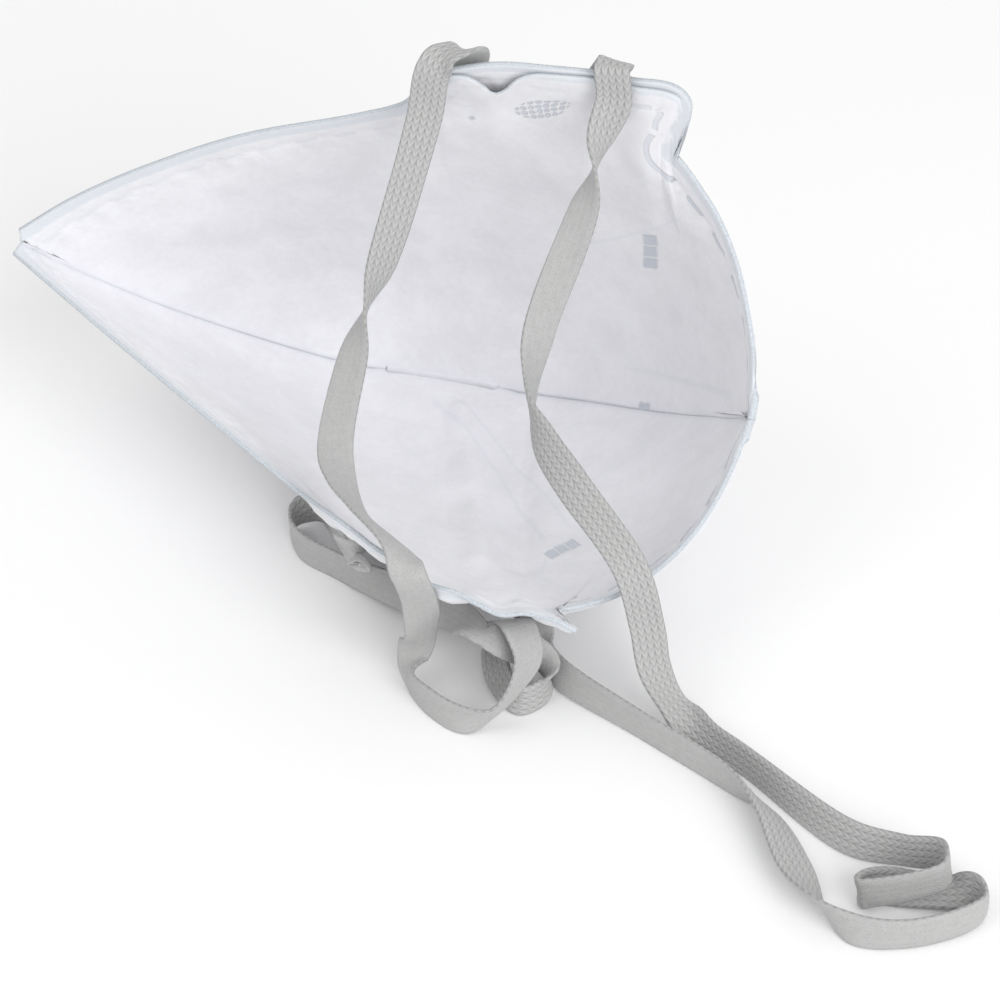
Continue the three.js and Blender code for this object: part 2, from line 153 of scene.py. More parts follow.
LOWER_STRAP = (
    (0.036, 0.0235, 0.0867, 1, 0.1, 0),
    (0.042, 0.02, 0.097, 1, 0.1, 0),
    (0.0425, 0.0165, 0.0975, 1, 0.1, 0),
    (0.043, 0.0165, 0.0915, 1, 0.2, -0.1),
    (0.0415, 0.015, 0.0853, 0.6, 0.7, -0.4),
    (0.041, 0.013, 0.079, -0.3, 0.7, -0.6),
    (0.0405, 0.009, 0.0725, -0.9, 0.1, -0.3),
    (0.0365, -0.002, 0.053, -0.8, -0.6, 0.2),
    (0.037, -0.008, 0.0455, -0.1, -0.8, 0.5),
    (0.039, -0.0125, 0.043, 0.3, -0.7, 0.6),
    (0.0435, -0.0175, 0.04, 0.8, -0.2, 0.6),
    (0.0515, -0.024, 0.037, 0.7, 0.4, 0.6),
    (0.0655, -0.0325, 0.029, 0.8, 0.5, 0.3),
    (0.0695, -0.0335, 0.0175, 0.9, 0.5, 0.2),
    (0.072, -0.036, 0.0105, 0.6, 0.8, 0.1),
    (0.0765, -0.0385, 0.0056, 0, 1, 0.1),
    (0.0835, -0.0415, 0.0034, 0, 0.4, 0.9),
    (0.0915, -0.045, 0.0034, 0, 0.1, 1),
    (0.1145, -0.057, 0.0034, 0, 0.4, 0.9),
    (0.1245, -0.0575, 0.0042, 0, 0.1, 1),
    (0.1315, -0.0595, 0.0071, 0, 0, 1),
    (0.1325, -0.0635, 0.0071, 0, 0, 1),
    (0.1205, -0.07, 0.0044, 0, 0, 1),
    (0.12, -0.067, 0.0034, 0, 0.2, 1),
    (0.133, -0.062, 0.0017, -0.2, 1, 0.2),
    (0.1375, -0.0615, 0.0034, -0.2, 0.4, 0.9),
    (0.14, -0.064, 0.0034, 0, 0, 1),
    (0.138, -0.0685, 0.0034, 0, 0, 1),
    (0.1295, -0.0755, 0.0034, 0, 0, 1),
    (0.1215, -0.0775, 0.0034, 0, 0.1, 1),
    (0.115, -0.0745, 0.0036, -0.3, -0.4, 0.9),
    (0.108, -0.067, 0.0038, -0.9, -0.4, 0.3),
    (0.1, -0.0565, 0.0038, -0.7, -0.3, 0.6),
    (0.091, -0.0505, 0.0034, -0.2, 0, 1),
    (0.072, -0.043, 0.0034, 0, 0, 1),
    (0.0545, -0.0365, 0.004, 0.1, 0.2, 1),
    (0.049, -0.032, 0.0043, 0.3, 0.3, 0.9),
    (0.047, -0.0295, 0.0072, 0.9, 0.2, 0.4),
    (0.0465, -0.032, 0.0118, 1, 0.1, 0.1),
    (0.047, -0.036, 0.0148, 1, 0, 0.1),
)

STRAP_LENGTHS = {"upper_strap": 0.369, "lower_strap": 0.379}
RIBS = 5
WIDTH_SHARE = 0.01  # the direction of the width, scaled to the route's own numbers

# The loose inner layer of the left tab: how far its rim dips below the tab's own
# rim along the shell, and how far it stands off
PLY_RIM = (
    (79, 2.5), (82, 0.8), (85, 1.6), (88, 3.4), (92, 6.4), (93, 6.6), (94, 5.6),
    (95.5, 2.2), (99, 1.0), (112, 0.8), (120, 1.2), (124, 1.0), (126.5, 3),
)
PLY_START = 0.55  # share of the way from the seam to the edge
PLY_NOTCH = 92
PLY_LIFT = 0.8
PLY_GAPE = 1.5
PLY_GAPE_SPREAD = 4.5
PLY_SUNK = 0.25  # its start lies this far inside the panel's own cloth
PLY_WALL = 0.4
PLY_STEPS = 40

# Soft crumple of the loose cloth: the size of its waves and their height, and
# how far in from the weld and from the seam it comes to its full height
BROAD_CRUMPLE = (17.0, 0.9)
FINE_CRUMPLE = (5.5, 0.25)
LOOSE_MARGIN = 9

# The stronger crumple at each tab: its height, where it is, and how far it
# spreads along the shell and in from the edge
CRUMPLE = {"left": 0.4, "right": 1.5}
CRUMPLE_ALONG = 108
CRUMPLE_SPREAD = 17
CRUMPLE_DEPTH = 13

# The broken weld inside the edge band, and the puckers beside it
WELD_DEPTH = 5.4
WELD_WIDTH = 0.8
GROOVE_DEPTH = 0.28
DASH_PITCH = 8.4
DASH_FADE = (112, 134)  # the dashes show more and more between these places
PUCKER_WIDTH = 2.2
PUCKER_PITCH = 5.3
PUCKER_HEIGHT = 0.13

# Pressed marks in the cloth, in millimetres on the flat cloth: the place along
# and across, the length and width, the angle, and how many blocks it has
MARKS = {
    "left": (
        ((121, 41.2), (10.2, 3.3), 1.48, 3),
        ((119, 0.9), (3.2, 1.6), 0.0, 1),
        ((88.5, 82.8), (1.3, 1.1), 0.3, 1),
    ),
    "right": (((118.6, 44.4), (9.6, 2.7), -1.2, 3),),
}
OVALS = {"left": (((102.5, 83.1), (5.6, 2.9)),), "right": ()}

# Thin strips of painted shade along creases and folds of the cloth, also pressed in as shallow
# grooves: both ends, the width and the strength
CREASE_SHADE_LINES = {
    "left": (
        ((114, 10), (143, 4.6), 1.2, 0.35),
        ((104, 41.5), (131, 50.6), 0.9, 0.3),
        ((86, 87), (92, 86), 0.5, 0.4),
    ),
    "right": (
        ((72, 7.4), (114.5, 44.3), 0.9, 0.4),
        ((76, 5.9), (117.5, 37.3), 0.8, 0.3),
        ((116.5, 48.5), (119, 57), 0.6, 0.35),
        ((116, 57.5), (127.5, 55.9), 0.6, 0.35),
    ),
}

REST_TILT = math.radians(42)  # how far the opening looks up
REST_HEIGHT = 42.6  # the nose and chin ends above the surface
BACK_SHIFT = 2.8  # centres the shell from front to back
BULGE = 0.36  # how full each section is between its two end directions
SEAM_GAP = 0.01  # between the two panels
SEAM_EASE = 0.12  # folds run out over this share of the way from the seam
SEAM_TAPER = 14  # the flange runs out to nothing over this length

# Grid steps of the finished pieces
LONG_STEPS = 250
ACROSS_STEPS = 92
EDGE_CROWDING = 0.06  # draws the steps together at the seam and at the edge
FLANGE_STEPS = 5
STRAP_STEPS = 12
STRAP_COLUMNS = 20
SECTION_SAMPLES = 60

# The straps' form across their width, in millimetres, and how far a strap may
# be from the length that it states
RIB_LIFT = 0.035
CUP_LIFT = 0.25
LENGTH_TOLERANCE = 0.05

# Noise scales of the finishes, in waves to the metre
FIBRE_SCALE = 2600
KNIT_PATCH_SCALE = 900
TUFT_SCALE = 700
YARN_SCALE = 420
CLOUD_SCALE = 120
CREASE_SCALE = 75
GRAIN_SCALE = 900

# The stage: the camera looks at its target from this side, and the lights, each
# with its place and size, are turned towards the shell
CAMERA_TARGET = (32.9, -12.2, 20.3)
CAMERA_AZIMUTH = math.radians(22)
CAMERA_ELEVATION = math.radians(37)
CAMERA_DISTANCE = 0.54
KEY_LIGHT = ((1.25, -1.0, 1.0), 1.4)
FILL_LIGHT = ((-0.7, -0.9, 1.5), 1.2)
LIGHT_TARGET = (0.02, 0, 0.02)
FLOOR_RADIUS = 6


class MaskShellSettings(bpy.types.PropertyGroup):
    """Sizes and colours of the cloth shell."""

    wall: bpy.props.FloatProperty(
        name="Wall", description="Thickness of the loose cloth layers together",
        default=1.5 * MM, unit="LENGTH",
    )
    band_wall: bpy.props.FloatProperty(
        name="Welded wall", description="Thickness of the layers where they are welded",
        default=0.8 * MM, unit="LENGTH",
    )
    band_width: bpy.props.FloatProperty(
        name="Edge band", description="Width of the welded band along the free edge",
        default=2.4 * MM, unit="LENGTH",
    )
    seam_width: bpy.props.FloatProperty(
        name="Seam flange", description="Width of the welded flange along the front seam",
        default=3.2 * MM, unit="LENGTH",
    )
    cloth: bpy.props.FloatVectorProperty(
        name="Cloth", description="Colour of the nonwoven", subtype="COLOR", size=3,
        default=(0.82, 0.82, 0.848), min=0, max=1,
    )
    mark: bpy.props.FloatVectorProperty(
        name="Pressed mark", description="Colour of the small welded marks and dashes",
        subtype="COLOR", size=3, default=(0.44, 0.48, 0.55), min=0, max=1,
    )
    # Painted shade along the creases, the folds and the front seam
    crease_shade: bpy.props.FloatVectorProperty(
        name="Crease", description="Colour along sharp creases and the front seam",
        subtype="COLOR", size=3, default=(0.60, 0.64, 0.70), min=0, max=1,
    )
    # The welded band's pressed blue-grey tone, made darker still as painted shade; the cut edge
    # uses it too
    welded: bpy.props.FloatVectorProperty(
        name="Welded cloth", description="Colour of the nonwoven where it is welded flat",
        subtype="COLOR", size=3, default=(0.62, 0.665, 0.71), min=0, max=1,
    )


class MaskStrapSettings(bpy.types.PropertyGroup):
    """Sizes and colours of the knitted straps."""

    width: bpy.props.FloatProperty(
        name="Width", description="Width of the flat elastic", default=6.4 * MM, unit="LENGTH",
    )
    thickness: bpy.props.FloatProperty(
        name="Thickness", description="Thickness of the elastic at its middle",
        default=0.85 * MM, unit="LENGTH",
    )
    yarn: bpy.props.FloatVectorProperty(
        name="Yarn", description="Colour of the knitted yarn", subtype="COLOR", size=3,
        default=(0.47, 0.47, 0.467), min=0, max=1,
    )
    # Painted shade deep between the ribs and stitches of the knit
    gap: bpy.props.FloatVectorProperty(
        name="Between the ribs", description="Colour deep between the ribs", subtype="COLOR",
        size=3, default=(0.32, 0.32, 0.318), min=0, max=1,
    )


class MaskStageSettings(bpy.types.PropertyGroup):
    """The floor, the lights and the camera."""

    floor: bpy.props.FloatVectorProperty(
        name="Floor", description="Colour of the floor", subtype="COLOR", size=3,
        default=(0.95, 0.95, 0.952), min=0, max=1,
    )
    key_power: bpy.props.FloatProperty(
        name="Key light", description="Power of the large soft light", default=19, min=0,
    )
    fill_power: bpy.props.FloatProperty(
        name="Fill light", description="Power of the light on the other side", default=4, min=0,
    )
    surround: bpy.props.FloatProperty(
        name="Surround", description="Brightness of the white surround", default=0.74, min=0,
    )
    lens: bpy.props.FloatProperty(
        name="Lens", description="Focal length in millimetres", default=105.1, min=10,
    )


class Field:
    """A socket in a material, so that shading can be written as plain arithmetic."""

    def __init__(self, finish, node, output=0):
        self.finish, self.node = finish, node
        self.socket = node.outputs[output] if node.outputs else None

    def __getitem__(self, output):
        return Field(self.finish, self.node, output)

    def __add__(self, other):
        return self.finish.maths("ADD", self, other)

    __radd__ = __add__

    def __sub__(self, other):
        return self.finish.maths("SUBTRACT", self, other)

    def __rsub__(self, other):
        return self.finish.maths("SUBTRACT", other, self)

    def __mul__(self, other):
        return self.finish.maths("MULTIPLY", self, other)

    __rmul__ = __mul__

    def __truediv__(self, other):
        return self.finish.maths("DIVIDE", self, other)

    def __mod__(self, other):
        return self.finish.maths("FLOORED_MODULO", self, other)

    def __abs__(self):
        return self.finish.maths("ABSOLUTE", self)


class Finish:
    """One material and the nodes that are added to it."""

    def __init__(self, name):
        self.material = bpy.data.materials.new(name)
        self.material.use_nodes = True
        self.tree = self.material.node_tree
        self.tree.nodes.clear()

    def node(self, kind, settings=None, inputs=None, output=0):
        made = self.tree.nodes.new(kind)
        for name, value in (settings or {}).items():
            setattr(made, name, value)
        for name, value in (inputs or {}).items():
            socket = made.inputs[name]
            if isinstance(value, Field):
                self.tree.links.new(value.socket, socket)
            elif socket.type == "RGBA" and len(value) == 3:
                socket.default_value = (*value, 1)
            else:
                socket.default_value = value
        return Field(self, made, output)

    def maths(self, operation, *values):
        return self.node("ShaderNodeMath", {"operation": operation}, dict(enumerate(values)))

    def step(self, value, start, end):
        """0 up to start and 1 from end, with a smooth way between."""
        return self.node(
            "ShaderNodeMapRange", {"interpolation_type": "SMOOTHSTEP"},
            {"Value": value, "From Min": start, "From Max": end},
        )

    def blend(self, share, first, second):
        return self.node(
            "ShaderNodeMix", {"data_type": "RGBA"}, {0: share, 6: first, 7: second}, output=2,
        )

    def flat_places(self, layer):
        """Distances in millimetres on the flat cloth, from one of the piece's own maps."""
        places = self.node("ShaderNodeUVMap", {"uv_map": layer})
        parts = self.node("ShaderNodeSeparateXYZ", inputs={0: places})
        return parts["X"], parts["Y"]

    def noise(self, scale, detail=2, roughness=0.5):
        place = self.node("ShaderNodeTexCoord")["Object"]
        return self.node(
            "ShaderNodeTexNoise", None,
            {"Vector": place, "Scale": scale, "Detail": detail, "Roughness": roughness},
        )

    def surface(self, colour, roughness, height, distance, sheen=0.0, strength=1.0):
        bump = self.node("ShaderNodeBump", None, {
            "Height": height, "Distance": distance, "Strength": strength,
        })
        shader = self.node("ShaderNodeBsdfPrincipled", None, {
            "Base Color": colour, "Roughness": roughness, "Normal": bump,
            "Sheen Weight": sheen, "Sheen Roughness": 0.6, "Specular IOR Level": 0.25,
        })
        self.node("ShaderNodeOutputMaterial", None, {"Surface": shader})
        return self.material


def shaded(colour, share):
    """A colour with the given share of its light."""
    return tuple(part * share for part in colour)


def smooth_table(columns, rows, name):
    """A smooth curve through one column of a table that never overshoots its values."""
    places = [row[0] for row in rows]
    values = [row[columns.index(name)] for row in rows]
    steps = np.diff(places)
    rises = np.diff(values) / steps
    slopes = [rises[0]]
    for before, after, step, following in zip(rises, rises[1:], steps, steps[1:]):
        if before * after <= 0:
            slopes.append(0.0)
            continue
        near, far = 2 * following + step, following + 2 * step
        slopes.append((near + far) / (near / before + far / after))
    slopes.append(rises[-1])

    def value_at(along):
        if along <= places[0]:
            return values[0]
        if along >= places[-1]:
            return values[-1]
        index = next(i for i, place in enumerate(places) if place > along) - 1
        step = steps[index]
        t = (along - places[index]) / step
        rise = values[index + 1] - values[index]
        bend = (1 - t) * (slopes[index] * step - rise) + t * (rise - slopes[index + 1] * step)
        return values[index] + t * rise + t * (1 - t) * bend

    return value_at


SECTION = {name: smooth_table(SECTION_COLUMNS, SECTIONS, name) for name in SECTION_COLUMNS[1:]}
TAB = {name: smooth_table(TAB_COLUMNS, TABS, name) for name in TAB_COLUMNS[1:]}


def eased(value, start, end):
    """0 up to start and 1 from end, with a smooth way between."""
    t = np.clip((value - start) / (end - start), 0, 1)
    return t * t * (3 - 2 * t)


def section(side, along):
    """The four handles of one panel's section, the way it arrives at its edge, and its length."""
    sign = 1 if side == "left" else -1
    seam = np.array((sign * SECTION["seam_shift"](along), SECTION["seam_height"](along)))
    edge = np.array((SECTION[side](along), SECTION["edge_height"](along)))
    reach = np.linalg.norm(edge - seam) * BULGE
    leave, arrive = (
        np.array((math.cos(angle), math.sin(angle)))
        for angle in (
            math.radians(SECTION[f"{side}_{end}_angle"](along)) for end in ("seam", "edge")
        )
    )
    handles = (seam, seam + leave * reach, edge - arrive * reach, edge)
    t = np.linspace(0, 1, SECTION_SAMPLES)[:, None]
    length = np.linalg.norm(np.diff(bezier(handles, t), axis=0), axis=1).sum()
    return handles, arrive, length


def bezier(handles, t):
    """Places on the curve of four handles."""
    a, b, c, d = handles
    return (1 - t) ** 3 * a + 3 * t * (1 - t) ** 2 * b + 3 * t * t * (1 - t) * c + t ** 3 * d


def rested(side, along, sideways, outwards):
    """From the shell's own directions to where it rests, in millimetres."""
    sign = 1 if side == "left" else -1
    cos, sin = math.cos(REST_TILT), math.sin(REST_TILT)
    return np.stack((
        along - SECTIONS[-1][0] / 2 + 0 * sideways,
        sign * sideways * sin - outwards * cos + BACK_SHIFT,
        sign * sideways * cos + outwards * sin + REST_HEIGHT,
    ), axis=-1)


def grid_normals(grid, sign):
    """The direction out of the cloth at each place of a grid."""
    along_run = np.gradient(grid, axis=0)
    across_run = np.gradient(grid, axis=1)
    normals = np.cross(across_run, along_run) * sign
    return normals / np.maximum(np.linalg.norm(normals, axis=2, keepdims=True), 1e-9)


def fold_height(side, along, share, spread):
    """How far the soft folds lift the cloth at each share of one section."""
    height = 0 * share
    for start_along, start_share, end_along, end_share, width, rise in FOLDS[side]:
        start = np.array((start_along, start_share * spread))
        run = np.array((end_along, end_share * spread)) - start
        point = np.stack((along + 0 * share, share * spread), axis=-1) - start
        t = np.clip(point @ run / (run @ run), 0, 1)
        away = np.linalg.norm(point - t[:, None] * run, axis=1) / width
        height = height + rise * np.exp(-away * away)
    return height * eased(share, 0, SEAM_EASE)


class Panel:
    """The inner face of one cheek as a grid of places, with its distances on the flat cloth."""

    def __init__(self, side, settings):
        self.side = side
        self.sign = 1 if side == "left" else -1
        self.settings = settings
        last = SECTIONS[-1][0]
        self.along = np.linspace(0, last, LONG_STEPS + 1)
        even = np.linspace(0, 1, ACROSS_STEPS + 1)
        self.share = even - EDGE_CROWDING * np.sin(2 * math.pi * even)
        smooth, self.across = self.smooth_face()
        self.run, self.depth = self.edge_distances(smooth)
        self.face = self.detailed(smooth)
        self.flange = self.flange_rows()

    def smooth_face(self):
        """The cloth with its soft folds, and each place's distance from the seam."""
        rows, across = [], []
        for along in self.along:
            handles, arrive, length = section(self.side, along)
            distance = self.share * (length + TAB[self.side](along))
            past = np.maximum(distance - length, 0)
            flat = bezier(handles, np.minimum(distance / length, 1)[:, None])
            flat = flat + past[:, None] * arrive
            leaning = along + TAB_LEAN[self.side] * past
            rows.append(rested(self.side, leaning, flat[:, 0], flat[:, 1]))
            across.append(distance)
        face = np.array(rows)
        normals = grid_normals(face, self.sign)
        for i, along in enumerate(self.along):
            length = section(self.side, along)[2]
            height = fold_height(self.side, along, self.share, length)
            face[i] -= normals[i] * height[:, None]
        return face, np.array(across)

    def edge_distances(self, face):
        """How far round the free edge each place lies, and how far in from it."""
        edge = face[:, -1]
        lengths = np.linalg.norm(np.diff(edge, axis=0), axis=1)
        round_edge = np.concatenate(((0,), np.cumsum(lengths)))
        run = np.zeros(face.shape[:2])
        depth = np.zeros(face.shape[:2])
        for i in range(face.shape[0]):
            gaps = np.linalg.norm(face[i][:, None] - edge[None], axis=2)
            nearest = gaps.argmin(axis=1)
            run[i] = round_edge[nearest]
            depth[i] = gaps.min(axis=1)
        inward = np.linspace(1, 0, face.shape[1])
        run = run * (1 - inward ** 8) + round_edge[:, None] * inward ** 8
        return run, depth

    def detailed(self, face):
        """Adds the weld's groove, the puckers beside it and the soft crumple of loose cloth."""
        normals = grid_normals(face, self.sign)
        band = self.settings.band_width / MM
        weld = np.exp(-((self.depth - WELD_DEPTH) / WELD_WIDTH) ** 2)
        dashes = 0.5 + 0.5 * np.tanh(4 * np.cos(2 * math.pi * self.run / DASH_PITCH))
        puckers = np.exp(-((self.depth - WELD_DEPTH - PUCKER_WIDTH) / PUCKER_WIDTH) ** 2)
        turn = 2 * math.pi * self.run / PUCKER_PITCH + 1.3 * np.sin(self.run / 9)
        height = -GROOVE_DEPTH * weld * dashes
        height += PUCKER_HEIGHT * puckers * np.sin(turn)
        loose = eased(self.depth, band, band + LOOSE_MARGIN)
        loose = loose * eased(self.across, 0, LOOSE_MARGIN)
        away = (self.along[:, None] - CRUMPLE_ALONG) / CRUMPLE_SPREAD
        crumple = CRUMPLE[self.side] * np.exp(-away ** 2)
        crumple = crumple * np.exp(-(self.depth / CRUMPLE_DEPTH) ** 2)
        (broad_size, broad_height), (fine_size, fine_height) = BROAD_CRUMPLE, FINE_CRUMPLE
        for index in np.ndindex(self.depth.shape):
            place = Vector(face[index])
            broad = noise.noise(place / broad_size + Vector((3.1, self.sign * 5.0, 0)))
            fine = noise.noise(place / fine_size + Vector((0, self.sign * 9.0, 1.7)))
            wave = broad_height * broad + fine_height * fine
            height[index] += loose[index] * wave + crumple[index] * fine
        face = face - normals * height[..., None]
        face[..., 2] = np.maximum(face[..., 2], self.settings.wall / MM)
        return face

    def flange_rows(self):
        """The welded flange that stands out behind the seam, from its tip to the seam."""
        seam = self.face[:, 0]
        run = np.gradient(seam, axis=0)
        run /= np.linalg.norm(run, axis=1, keepdims=True)
        out = np.array((0.0, 1.0, 0.0)) - run * run[:, 1:2]
        out /= np.linalg.norm(out, axis=1, keepdims=True)
        up = np.cross(run, out)
        from_end = np.minimum(self.along, self.along[-1] - self.along)
        taper = np.clip(from_end / SEAM_TAPER, 0.05, 1)
        clear = up * self.sign * SEAM_GAP / 2
        self.face[:, 0] = seam + clear
        width = self.settings.seam_width / MM
        steps = np.linspace(1, 0, FLANGE_STEPS + 1)[:-1]
        rows = [seam + clear + out * (width * taper * step)[:, None] for step in steps]
        return np.stack(rows, axis=1)

    def inner_ply(self):
        """The loose inner layer near the left tab: its rim dips to a notch, and gapes there."""
        rim = smooth_table(("along", "dip"), PLY_RIM, "dip")
        first, last = PLY_RIM[0][0], PLY_RIM[-1][0]
        rows = [i for i, along in enumerate(self.along) if first <= along <= last]
        normals = grid_normals(self.face, self.sign)
        even = np.linspace(0, 1, PLY_STEPS + 1)
        places, cloth, edge = [], [], []
        for i in rows:
            along, spread = self.along[i], self.across[i, -1]
            top = 1 - rim(along) / spread
            shares = PLY_START + (top - PLY_START) * even

            def at(values):
                return np.interp(shares, self.share, values)

            place, normal = (
                np.stack([at(grid[i, :, axis]) for axis in range(3)], axis=-1)
                for grid in (self.face, normals)
            )
            sides = min(along - first, last - along)
            loose = eased(even, 0, 0.35) * eased(sides, 0, 4)
            gape = math.exp(-((along - PLY_NOTCH) / PLY_GAPE_SPREAD) ** 2)
            gape = PLY_GAPE * gape * even ** 3
            places.append(place - normal * (loose * (PLY_LIFT + gape) - PLY_SUNK)[:, None])
            cloth.append(np.stack((np.full(len(even), along), shares * spread), axis=-1))
            edge.append(np.stack((at(self.run[i]), at(self.depth[i])), axis=-1))
        return np.array(places) * MM, {"cloth": np.array(cloth), "edge": np.array(edge)}

    def layout(self):
        """Every place with its two flat maps: along and across, and round and in from the edge."""
        places = np.concatenate((self.flange, self.face), axis=1)
        width = self.settings.seam_width / MM
        steps = -width * np.linspace(1, 0, FLANGE_STEPS + 1)[:-1]
        count = len(self.along)
        across = np.concatenate((np.tile(steps, (count, 1)), self.across), axis=1)
        along = np.tile(self.along[:, None], (1, across.shape[1]))
        run, depth = (
            np.concatenate((np.repeat(values[:, :1], FLANGE_STEPS, 1), values), axis=1)
            for values in (self.run, self.depth)
        )
        cloth = np.stack((along, across), axis=-1)
        return places * MM, {"cloth": cloth, "edge": np.stack((run, depth), axis=-1)}

    def wall_shares(self):
        """The wall at each place as a share of the full wall: thin where it is welded."""
        settings = self.settings
        thin = settings.band_wall / settings.wall
        band = settings.band_width / MM
        loose = eased(self.depth, band * 0.6, band * 1.3)
        flange = np.full((len(self.along), FLANGE_STEPS), thin)
        return np.concatenate((flange, thin + (1 - thin) * loose), axis=1)


def grid_piece(name, places, maps, weights, group_name):
    """One sheet: a grid whose corners are moved to their places, with its flat maps."""
    rows, columns = places.shape[:2]
    mesh = bpy.data.meshes.new(name)
    grid = bmesh.new()
    bmesh.ops.create_grid(grid, x_segments=rows - 1, y_segments=columns - 1, size=1)
    layers = {layer: grid.loops.layers.uv.new(layer) for layer in maps}
    places_of = {}
    for vert in grid.verts:
        i = round((vert.co.x + 1) / 2 * (rows - 1))
        j = round((vert.co.y + 1) / 2 * (columns - 1))
        places_of[vert] = (i, j)
        vert.co = places[i, j]
    for face in grid.faces:
        face.smooth = True
        for loop in face.loops:
            i, j = places_of[loop.vert]
            for layer, values in maps.items():
                loop[layers[layer]].uv = values[i, j]
    order = [places_of[vert] for vert in grid.verts]
    grid.to_mesh(mesh)
    grid.free()
    piece = bpy.data.objects.new(name, mesh)
    bpy.context.scene.collection.objects.link(piece)
    group = piece.vertex_groups.new(name=group_name)
    for index, place in enumerate(order):
        group.add([index], float(weights[place]), "REPLACE")
    return piece


def reverse(piece):
    """Turns every face of a sheet over."""
    sheet = bmesh.new()
    sheet.from_mesh(piece.data)
    bmesh.ops.reverse_faces(sheet, faces=sheet.faces)
    sheet.to_mesh(piece.data)
    sheet.free()


def thickened(piece, thickness, offset, group_name, **materials):
    """Gives a sheet its thickness, as shares of it that the vertex group holds."""
    solid = piece.modifiers.new("Wall", "SOLIDIFY")
    solid.thickness = thickness
    solid.offset = offset
    solid.vertex_group = group_name
    solid.use_even_offset = False
    for name, value in materials.items():
        setattr(solid, name, value)


def finished(piece):
    """Applies the piece's modifiers, and lays on the floor what would lie below it."""
    graph = bpy.context.evaluated_depsgraph_get()
    mesh = bpy.data.meshes.new_from_object(piece.evaluated_get(graph), depsgraph=graph)
    piece.modifiers.clear()
    piece.data = mesh
    for vert in mesh.vertices:
        vert.co.z = max(vert.co.z, 0.0)
    mesh.update()


def smooth_route(rows):
    """A smooth run through the route's places, with the direction of the width at each step."""
    route = np.array(rows)
    ahead = np.gradient(route[:, :3], axis=0)
    ahead /= np.linalg.norm(ahead, axis=1, keepdims=True)
    square = route[:, 3:] - ahead * (route[:, 3:] * ahead).sum(axis=1, keepdims=True)
    route[:, 3:] = WIDTH_SHARE * square / np.linalg.norm(square, axis=1, keepdims=True)
    points = np.vstack((2 * route[0] - route[1], route, 2 * route[-1] - route[-2]))
    steps = []
    for index in range(1, len(points) - 2):
        before, start, end, after = points[index - 1:index + 3]
        gap_in, gap, gap_out = (
            math.sqrt(np.linalg.norm((b - a)[:3]))
            for a, b in ((before, start), (start, end), (end, after))
        )
        slope_start = end - start + gap * (
            (start - before) / gap_in - (end - before) / (gap_in + gap))
        slope_end = end - start + gap * (
            (after - end) / gap_out - (after - start) / (gap + gap_out))
        for t in np.arange(STRAP_STEPS) / STRAP_STEPS:
            steps.append(
                (2 * t ** 3 - 3 * t ** 2 + 1) * start + (t ** 3 - 2 * t ** 2 + t) * slope_start
                + (3 * t ** 2 - 2 * t ** 3) * end + (t ** 3 - t ** 2) * slope_end)
    steps.append(route[-1])
    steps = np.array(steps)
    centres, widths = steps[:, :3], steps[:, 3:]
    run = np.gradient(centres, axis=0)
    run /= np.linalg.norm(run, axis=1, keepdims=True)
    widths = widths - run * (widths * run).sum(axis=1, keepdims=True)
    widths /= np.linalg.norm(widths, axis=1, keepdims=True)
    return centres, widths, np.cross(run, widths)


def strap_piece(name, rows, settings):
    """One strap along its route, cupped and ribbed, and the middle line that it follows."""
    centres, widths, through = smooth_route(rows)
    across = np.linspace(-0.5, 0.5, STRAP_COLUMNS + 1)
    ribs = np.cos(2 * math.pi * across * RIBS)
    step = np.linalg.norm(np.diff(centres, axis=0), axis=1)
    travelled = np.concatenate(((0,), np.cumsum(step))) / MM
    places = np.empty((len(centres), len(across), 3))
    maps = np.empty((len(centres), len(across), 2))
    for i, distance in enumerate(travelled):
        swell = 0.02 * math.sin(distance / 11) + 0.012 * math.sin(distance / 3.7)
        width = settings.width * (1 + swell)
        cup = CUP_LIFT * MM * math.sin(distance / 19 + 1) * (across * 2) ** 2
        lift = RIB_LIFT * MM * ribs + cup
        places[i] = centres[i] + across[:, None] * width * widths[i] + lift[:, None] * through[i]
        maps[i] = np.stack((np.full(len(across), distance), across * settings.width / MM), axis=-1)
    weights = np.tile(1 - 0.5 * np.abs(across * 2) ** 6, (len(centres), 1))
    piece = grid_piece(name, places, {"knit": maps}, weights, "thickness")
    thickened(piece, settings.thickness, 0, "thickness", material_offset=1)
    return piece, centres


def knit_finish(name, settings, ribbed):
    """Knitted elastic: slanted stitches in ribs along its length, bold on one face, with painted
    shade deep between the ribs and stitches.
    """
    finish = Finish(name)
    along, across = finish.flat_places("knit")
    warp = finish.noise(YARN_SCALE)
    fuzz = finish.noise(FIBRE_SCALE, 3, 0.6)
    patch = finish.noise(KNIT_PATCH_SCALE, 3, 0.6)
    rib_width = settings.width / MM / RIBS
    place = (across / rib_width + RIBS / 2) % 1
    from_middle = abs(place - 0.5)
    pitch, slant = (1.5, 1.6) if ribbed else (0.8, 2.4)
    stitch = (along / pitch + from_middle * slant + warp * 0.3) % 1
    loop = 1 - abs(stitch - 0.5) * 2
    rib = 1 - from_middle * 2
    if ribbed:
        height = finish.step(rib, 0, 0.45) * 0.5 + finish.step(loop, 0.1, 0.75) * 0.6
        share = height * 0.75 + fuzz * 0.45 + patch * 0.25 - 0.25
        distance = 0.14 * MM
    else:
        height = finish.step(rib, 0, 0.3) * 0.16 + finish.step(loop, 0.1, 0.8) * 0.3
        share = height * 0.5 + fuzz * 0.5 + patch * 0.5 - 0.02
        distance = 0.1 * MM
    # Painted shade: darker where the knit lies low between ribs and stitches, mixed with random
    # patches of tone
    colour = finish.blend(finish.step(share, 0, 1), tuple(settings.gap), tuple(settings.yarn))
    height = height + fuzz * 0.5 + patch * 0.4
    return finish.surface(colour, 0.82 + fuzz * 0.16, height, distance, sheen=0.2)


